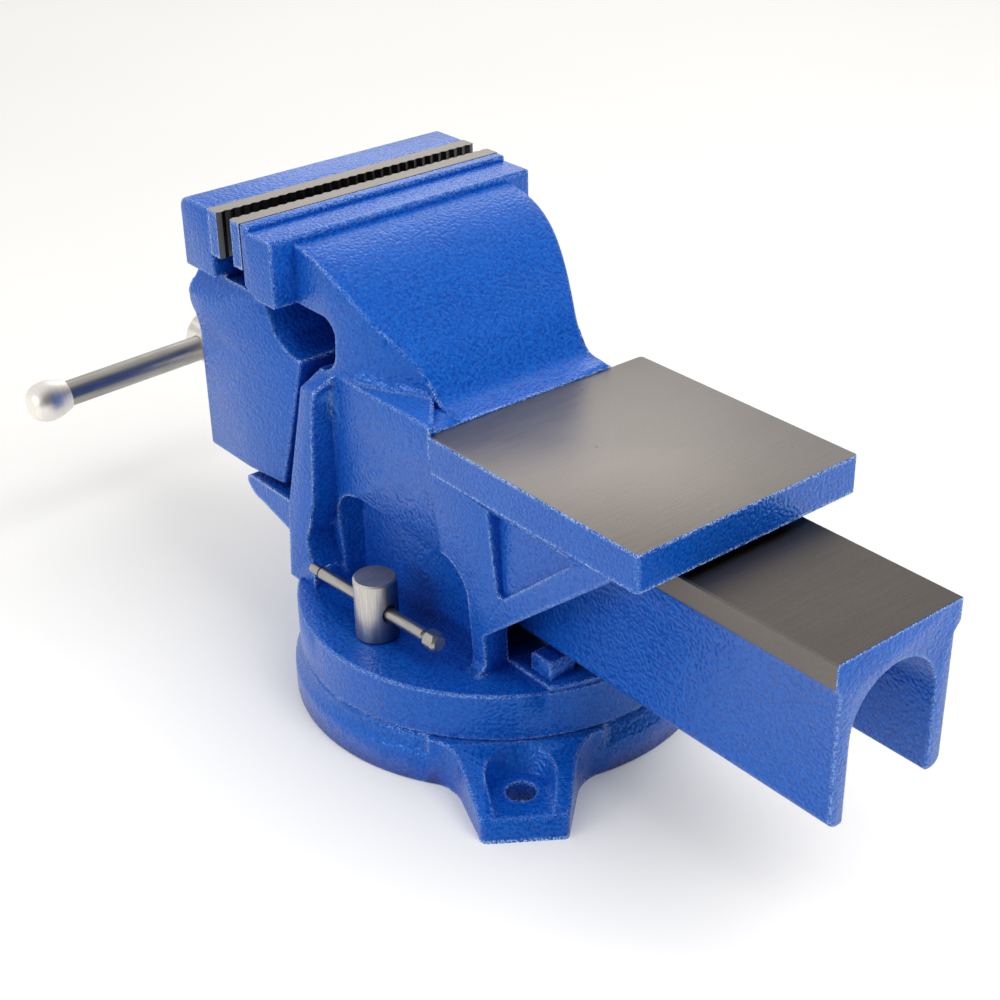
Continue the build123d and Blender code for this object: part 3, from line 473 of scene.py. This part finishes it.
def drawn_steel(name, colour, stretch):
    """Drawn bar: soft streaks along its length and faint handling marks."""
    streak_size, haze_size = 1.6 * MM, 11 * MM
    haze_span, haze_share = (0.5, 0.8), 0.4
    dark, light, hazy = tone(colour, 0.8), tone(colour, 1.12), tone(colour, 0.7)
    smoothest, roughest = 0.29, 0.42

    sheet = Sheet(bpy.data.materials.new(name))
    streaks = sheet.noise(streak_size, detail=3.0, stretch=stretch)
    haze = sheet.noise(haze_size, detail=3.0)
    shade = sheet.blend(sheet.spread(streaks, SOFT_SPAN), dark, light)
    dulled = sheet.blend(sheet.spread(haze, haze_span, (0.0, haze_share)), shade, hazy)
    dull = sheet.spread(haze, SOFT_SPAN, (smoothest, roughest))
    sheet.fill(sheet.shader, Base_Color=dulled, Roughness=dull, Metallic=1.0,
               Normal=sheet.bump(streaks, distance=0.03 * MM, strength=0.4))
    return sheet.owner


def raw_casting(name, colour):
    """Bare cast iron with a sandy grain and darker clouds."""
    grain_size, cloud_size, cloud_span = 1.2 * MM, 14 * MM, (0.35, 0.7)
    smoothest, roughest = 0.45, 0.65

    sheet = Sheet(bpy.data.materials.new(name))
    grain = sheet.noise(grain_size, detail=4.0)
    clouds = sheet.spread(sheet.noise(cloud_size, detail=3.0), cloud_span)
    shade = sheet.blend(clouds, tone(colour, 0.7), tone(colour, 1.2))
    dull = sheet.spread(grain, SOFT_SPAN, (smoothest, roughest))
    sheet.fill(sheet.shader, Base_Color=shade, Roughness=dull, Metallic=0.8,
               Normal=sheet.bump(grain, distance=0.25 * MM, strength=0.5))
    return sheet.owner


def finish_named(name, maker, *values, **options):
    """The finish of that name, made on its first use."""
    return bpy.data.materials.get(name) or maker(name, *values, **options)


def paint():
    return finish_named("hammered blue paint", hammered_paint, bpy.context.scene.vise_paint)


def ground_along_x():
    settings = bpy.context.scene.vise_metal
    return finish_named("ground iron, lines across", ground_metal, settings.ground, LINES_X,
                        settings.line_pitch)


def milled_along_x():
    settings = bpy.context.scene.vise_metal
    return finish_named("milled iron", ground_metal, tone(settings.ground, 0.62), LINES_X,
                        settings.line_pitch, roughness=0.4)


def bright_steel(axis):
    settings = bpy.context.scene.vise_metal
    return finish_named("bright steel turned about " + axis, turned_steel, settings.bright, axis)


def bar_steel(axis):
    settings = bpy.context.scene.vise_metal
    stretch = {"X": LINES_X, "Y": LINES_Y}[axis]
    return finish_named("steel drawn along " + axis, drawn_steel, tone(settings.bright, 0.5),
                        stretch)


def brushed_steel(name, stretch, roughness):
    settings = bpy.context.scene.vise_metal
    return finish_named(name, ground_metal, tone(settings.bright, 0.75), stretch,
                        settings.line_pitch * 0.7, roughness=roughness, contrast=0.3)


def dark_steel():
    settings = bpy.context.scene.vise_metal
    return finish_named("blackened steel", turned_steel, settings.dark, "Z")


def give(piece, *materials):
    piece.data.materials.clear()
    for material in materials:
        piece.data.materials.append(material)


def finish_faces(piece, slot_index, wanted):
    """Gives a finish to the faces that wanted names by their centre and normal."""
    for face in piece.data.polygons:
        if wanted(face.center, face.normal):
            face.material_index = slot_index


def node_finish(node, material):
    give(frame["nodes"][node], material)


# Cast pieces

def on_level(edge, level):
    return all(abs(vertex.co.z - level) < LEVEL_GAP for vertex in edge.verts)


def roomy(edge, width):
    """True where both faces beside the edge are wide enough for a rounding of that width."""
    length = edge.calc_length()
    return all(face.calc_area() > ROOM * width * length for face in edge.link_faces)


def round_edges(piece, widths, sharp=SHARP_ANGLE):
    """Rounds the outer edges that turn by more than sharp, each by what widths says."""
    mesh = bmesh.new()
    mesh.from_mesh(piece.data)
    share = mesh.edges.layers.float.new("bevel_weight_edge")
    wanted = {edge: widths(edge) for edge in mesh.edges
              if edge.is_convex and edge.calc_face_angle(0.0) > sharp}
    widest = max(wanted.values())
    for edge, width in wanted.items():
        edge[share] = width / widest if roomy(edge, width) else 0.0
    mesh.to_mesh(piece.data)
    mesh.free()
    apply_modifier(piece, "BEVEL", width=widest, segments=ROUND_SEGMENTS, profile=0.5,
                   limit_method="WEIGHT", use_clamp_overlap=False, miter_outer="MITER_ARC",
                   loop_slide=True)


class VISE_OT_base(bpy.types.Operator):
    """Rounds and paints the swivel base"""
    bl_idname = "vise.base"
    bl_label = "Swivel base"

    def execute(self, context):
        piece = cast_copy("swivel_base", "painted_base")
        cast_round = context.scene.vise_paint.edge_round

        def outside(point):
            return point.xy.length > BASE_INSIDE and point.z > BASE_FOOT

        def thin(point):
            """True at an ear's thin strip, on whichever side of the base."""
            return (Vector(map(abs, point)) - THIN_SPOT).length < THIN_REACH

        def width(edge):
            ends = [vertex.co for vertex in edge.verts]
            return cast_round if all(map(outside, ends)) and not any(map(thin, ends)) else 0.0

        round_edges(piece, width)
        give(piece, paint())
        finish_piece(piece, "base", "swivel_base")
        return {"FINISHED"}


class VISE_OT_body(bpy.types.Operator):
    """Rounds and paints the fixed body and bares the ground top of its anvil"""
    bl_idname = "vise.body"
    bl_label = "Fixed body"

    def execute(self, context):
        piece = cast_copy("fixed_body", "painted_body")
        mount = next(one for one in frame["record"]["mounts"] if one["name"] == "anvil_top")
        anvil_top = mount["pos_m"][2]
        cast_round = context.scene.vise_paint.edge_round
        machined_round = context.scene.vise_metal.edge_round

        def narrow(point):
            """True beside the strips that are narrower than the rounding."""
            x, y, z = abs(point.x), point.y, point.z
            below_anvil = BELOW_ANVIL_LOW < z < BELOW_ANVIL_HIGH and x > WALL_SIDE
            corner = x > CORNER_SIDE and y < CORNER_FRONT and z < CORNER_TOP
            return below_anvil or corner or abs(y - ANVIL_FRONT) < FACE_GAP

        def strip(edge):
            return on_level(edge, ANVIL_UNDERSIDE) or all(
                narrow(vertex.co) for vertex in edge.verts)

        def width(edge):
            if on_level(edge, anvil_top):
                return machined_round
            return 0.0 if strip(edge) else cast_round

        def ground(centre, normal):
            return normal.z > FLAT_UP and abs(centre.z - anvil_top) < FACE_GAP

        round_edges(piece, width)
        give(piece, paint(), ground_along_x())
        finish_faces(piece, 1, ground)
        finish_piece(piece, "body", "fixed_body")
        return {"FINISHED"}


class VISE_OT_jaw(bpy.types.Operator):
    """Rounds and paints the movable jaw and bares the running faces of its beam"""
    bl_idname = "vise.jaw"
    bl_label = "Movable jaw"

    def execute(self, context):
        piece = cast_copy("movable_jaw", "painted_jaw")
        cast_round = context.scene.vise_paint.edge_round
        machined_round = context.scene.vise_metal.edge_round

        def milled(point):
            on_roof = abs(point.z - BEAM_TOP) < ROOF_GAP
            on_side = abs(point.x) > BEAM_SIDE
            return point.y > BEAM_START and point.z > BEAM_BAND and (on_roof or on_side)

        def width(edge):
            ends = [vertex.co for vertex in edge.verts]
            return machined_round if all(map(milled, ends)) else cast_round

        def bare(centre, normal):
            return milled(centre) and abs(normal.y) < END_LEAN

        round_edges(piece, width)
        give(piece, paint(), milled_along_x())
        finish_faces(piece, 1, bare)
        finish_piece(piece, "jaw", "movable_jaw")
        return {"FINISHED"}


class VISE_OT_jaw_plates(bpy.types.Operator):
    """Finishes the jaw plates and their screws"""
    bl_idname = "vise.jaw_plates"
    bl_label = "Jaw plates"

    def execute(self, context):
        for node in ("fixed_jaw_plate", "movable_jaw_plate"):
            piece = frame["nodes"][node]
            give(piece, ground_along_x(), dark_steel(), paint())
            finish_faces(piece, 1, lambda centre, normal: abs(normal.y) > TOOTH_LEAN)
            finish_faces(piece, 2, lambda centre, normal: abs(normal.x) > SIDE_LEAN)
        for node in ("fixed_plate_screws", "movable_plate_screws"):
            node_finish(node, dark_steel())
        return {"FINISHED"}


# Spindle

def cut_off(place, **keep):
    """Cuts the piece in edit mode square across its length and closes the cut."""
    bpy.ops.mesh.select_all(action="SELECT")
    bpy.ops.mesh.bisect(plane_co=(0, place, 0), plane_no=(0, 1, 0), use_fill=True, **keep)


def thread_profile(settings):
    """One rib of the thread as an open line, with the flat beside it up to the next rib."""
    root = settings.radius - settings.depth
    foot = settings.pitch * RIB_SHARE
    middle = root + settings.depth / 2
    bpy.ops.mesh.primitive_plane_add(size=1)
    piece = bpy.context.view_layer.objects.active
    edit(piece)
    bpy.ops.mesh.select_all(action="SELECT")
    bpy.ops.transform.resize(value=(settings.depth, foot, 1))
    bpy.ops.transform.translate(value=(middle, foot / 2, 0))
    pick(piece, "EDGE", lambda edge: all(vertex.co.x < middle for vertex in edge.verts))
    bpy.ops.mesh.delete(type="EDGE")
    pick(piece, "VERT", lambda vertex: vertex.co.x > middle)
    bpy.ops.transform.resize(value=(1, settings.crest, 1))
    pick(piece, "VERT", lambda vertex: vertex.co.x < middle and vertex.co.y > foot / 2)
    flat = (0, settings.pitch - foot, 0)
    bpy.ops.mesh.extrude_region_move(TRANSFORM_OT_translate={"value": flat})
    leave_edit()
    return piece


def turn_thread(settings, end, level):
    """Winds the rib into a screw on the spindle's axis and trims it square at both ends."""
    screw = thread_profile(settings)
    screw.name = screw.data.name = "spindle_thread"
    turns = int((end - settings.start) / settings.pitch) + SPARE_TURNS
    apply_modifier(screw, "SCREW", axis="Y", angle=tau, screw_offset=settings.pitch,
                   iterations=turns, steps=settings.steps, render_steps=settings.steps,
                   use_merge_vertices=False)
    edit(screw)
    bpy.ops.mesh.select_all(action="SELECT")
    bpy.ops.mesh.remove_doubles(threshold=THREAD_GAP)
    lead = LEAD_TURNS * settings.pitch
    bpy.ops.transform.translate(value=(0, settings.start - lead, level))
    cut_off(settings.start, clear_inner=True)
    cut_off(end, clear_outer=True)
    bpy.ops.mesh.select_all(action="SELECT")
    bpy.ops.mesh.normals_make_consistent(inside=False)
    leave_edit()
    return screw


class VISE_OT_spindle(bpy.types.Operator):
    """Cuts the thread of the spindle and finishes its head, washer, collar and pin"""
    bl_idname = "vise.spindle"
    bl_label = "Spindle"

    def execute(self, context):
        settings = context.scene.vise_thread
        machined_round = context.scene.vise_metal.edge_round
        low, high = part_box("spindle")
        head = cast_copy("spindle", "spindle_head")
        edit(head)
        cut_off(settings.start, clear_outer=True)
        leave_edit()
        round_edges(head, lambda edge: machined_round, MACHINED_ANGLE)
        screw = turn_thread(settings, high[1], (low[2] + high[2]) / 2)
        for piece in (head, screw):
            give(piece, bright_steel("Y"))
            finish_piece(piece, "spindle", "spindle")
        for node in ("thrust_washer", "collar_pin"):
            node_finish(node, bright_steel("Y"))
        node_finish("spindle_collar", dark_steel())
        return {"FINISHED"}


# Handle, locks and inner pieces

class VISE_OT_handle(bpy.types.Operator):
    """Finishes the handle bar and its knobs"""
    bl_idname = "vise.handle"
    bl_label = "Handle"

    def execute(self, context):
        node_finish("handle_bar", bar_steel("X"))
        for node in ("handle_knob_right", "handle_knob_left"):
            node_finish(node, bright_steel("X"))
        return {"FINISHED"}


class VISE_OT_locks(bpy.types.Operator):
    """Finishes the swivel locks"""
    bl_idname = "vise.locks"
    bl_label = "Swivel locks"

    def execute(self, context):
        for side in ("right", "left"):
            nut = frame["nodes"]["lock_nut_" + side]
            give(nut, brushed_steel("steel brushed upright", LINES_Z, 0.32),
                 brushed_steel("steel brushed across", SHORT_LINES_X, 0.5))
            finish_faces(nut, 1, lambda centre, normal: normal.z > FLAT_UP)
            for part in ("lock_bar_", "lock_knob_"):
                node_finish(part + side, bar_steel("Y"))
            node_finish("lock_bolt_" + side, dark_steel())
        return {"FINISHED"}


class VISE_OT_inner(bpy.types.Operator):
    """Finishes the spindle nut and the pivot"""
    bl_idname = "vise.inner"
    bl_label = "Nut and pivot"

    def execute(self, context):
        node_finish("spindle_nut", finish_named("raw cast iron", raw_casting, RAW_IRON))
        for node in ("nut_bolt", "pivot_bolt", "pivot_washer", "pivot_nut"):
            node_finish(node, dark_steel())
        return {"FINISHED"}


# Floor, light and camera

def lamp(name, place, width, height, power):
    """A softbox that faces the middle of the vise."""
    bpy.ops.object.light_add(type="AREA", location=place)
    made = bpy.context.view_layer.objects.active
    made.name = name
    made.data.shape = "RECTANGLE"
    made.data.size = width
    made.data.size_y = height
    made.data.energy = power
    made.rotation_euler = (Vector(LAMP_AIM) - Vector(place)).to_track_quat("-Z", "Y").to_euler()
    return made


def floor_material():
    """Pale floor that glows a little for camera and mirrored rays where it lies open; near the
    vise the glow fades, a painted shadow.
    """
    cloud_size, shadow_reach, shadow_span, glow = 0.4, 60 * MM, (0.1, 0.6), 0.18
    sheet = Sheet(bpy.data.materials.new("pale floor"))
    clouds = sheet.spread(sheet.noise(cloud_size, detail=2.0), SOFT_SPAN)
    rays = sheet.add("ShaderNodeLightPath").outputs
    seen = sheet.math("MAXIMUM", rays["Is Camera Ray"], rays["Is Glossy Ray"])
    lit = sheet.spread(sheet.openness(shadow_reach), shadow_span, (0.0, glow))
    sheet.fill(sheet.shader, Base_Color=sheet.blend(clouds, FLOOR_DARK, FLOOR_LIGHT),
               Roughness=0.9, Specular_IOR_Level=0.1, Emission_Color=WHITE,
               Emission_Strength=sheet.math("MULTIPLY", seen, lit))
    return sheet.owner


def build_sky(settings):
    """An even white room whose one side is dimmer, as beside an open studio table."""
    dim_to_bright = (-0.75, 0.35)
    world = bpy.data.worlds.new("soft room")
    bpy.context.scene.world = world
    sheet = Sheet(world, "Background")
    facing = sheet.add("ShaderNodeVectorMath", operation="DOT_PRODUCT")
    sheet.feed(facing.inputs[0], sheet.add("ShaderNodeTexCoord").outputs["Generated"])
    sheet.feed(facing.inputs[1], settings.bright_side)
    falling = sheet.spread(facing.outputs["Value"], dim_to_bright, (settings.dim, settings.sky),
                           curve="SMOOTHSTEP")
    strength = sheet.add("ShaderNodeMix")
    rays = sheet.add("ShaderNodeLightPath").outputs
    sheet.feed(strength.inputs[MIX_FACTOR], rays["Is Camera Ray"])
    sheet.feed(strength.inputs[FIRST_NUMBER], falling)
    sheet.feed(strength.inputs[SECOND_NUMBER], 1.0)
    sheet.fill(sheet.shader, Color=WHITE, Strength=strength.outputs[MIXED_NUMBER])


def add_camera(settings):
    bpy.ops.object.camera_add(location=tuple(settings.camera_place))
    camera = bpy.context.view_layer.objects.active
    camera.name = "photo camera"
    camera.data.sensor_width = SENSOR
    camera.data.lens = settings.lens
    camera.data.clip_start = NEAREST
    camera.data.clip_end = FARTHEST
    fall, heading = settings.fall, settings.heading
    view = Vector((sin(heading) * cos(fall), cos(heading) * cos(fall), -sin(fall)))
    roll = Quaternion((0, 0, 1), settings.roll)
    camera.rotation_mode = "QUATERNION"
    camera.rotation_quaternion = view.to_track_quat("-Z", "Y") @ roll
    bpy.context.scene.camera = camera


class VISE_OT_stage(bpy.types.Operator):
    """Adds the floor, the soft light and the camera"""
    bl_idname = "vise.stage"
    bl_label = "Stage"

    def execute(self, context):
        settings = context.scene.vise_stage
        bpy.ops.object.select_all(action="DESELECT")
        bpy.ops.mesh.primitive_plane_add(size=settings.floor_size, location=(0, 0, -FLOOR_DROP))
        floor = context.view_layer.objects.active
        floor.name = "floor"
        bpy.ops.object.transform_apply(location=True, rotation=True, scale=True)
        give(floor, floor_material())
        build_sky(settings)
        overhead = lamp("overhead softbox", (-0.4, 1.2, 1.6), width=1.5, height=1.5, power=31)
        overhead.visible_glossy = False
        lamp("back softbox", (-1.1, -1.36, 1.07), width=1.0, height=1.0, power=3)
        lamp("side softbox", (1.4, -0.12, 0.62), width=0.7, height=0.2, power=4)
        add_camera(settings)
        context.scene.view_settings.view_transform = "Standard"
        return {"FINISHED"}


class VISE_PT_panel(bpy.types.Panel):
    """Lists the settings and the steps that dress the vise"""
    bl_idname = "VISE_PT_panel"
    bl_label = "Bench vise"
    bl_space_type = "VIEW_3D"
    bl_region_type = "UI"
    bl_category = "Vise"

    def draw(self, context):
        for group in SETTINGS:
            box = self.layout.box()
            settings = getattr(context.scene, group)
            for name in settings.bl_rna.properties.keys():
                if name not in ("rna_type", "name"):
                    box.prop(settings, name)
        for step in STEPS:
            self.layout.operator(step.bl_idname)


SETTINGS = {"vise_paint": PaintSettings, "vise_metal": MetalSettings,
            "vise_thread": ThreadSettings, "vise_stage": StageSettings}
STEPS = (VISE_OT_base, VISE_OT_body, VISE_OT_jaw, VISE_OT_jaw_plates, VISE_OT_spindle,
         VISE_OT_handle, VISE_OT_locks, VISE_OT_inner, VISE_OT_stage)


def register():
    for group in (*SETTINGS.values(), *STEPS, VISE_PT_panel):
        bpy.utils.register_class(group)
    for name, group in SETTINGS.items():
        setattr(bpy.types.Scene, name, PointerProperty(type=group))


def unregister():
    for name in SETTINGS:
        delattr(bpy.types.Scene, name)
    for group in reversed((*SETTINGS.values(), *STEPS, VISE_PT_panel)):
        bpy.utils.unregister_class(group)


def main():
    register()
    for step in STEPS:
        group, name = step.bl_idname.split(".")
        getattr(getattr(bpy.ops, group), name)()


if __name__ == "__main__":
    main()
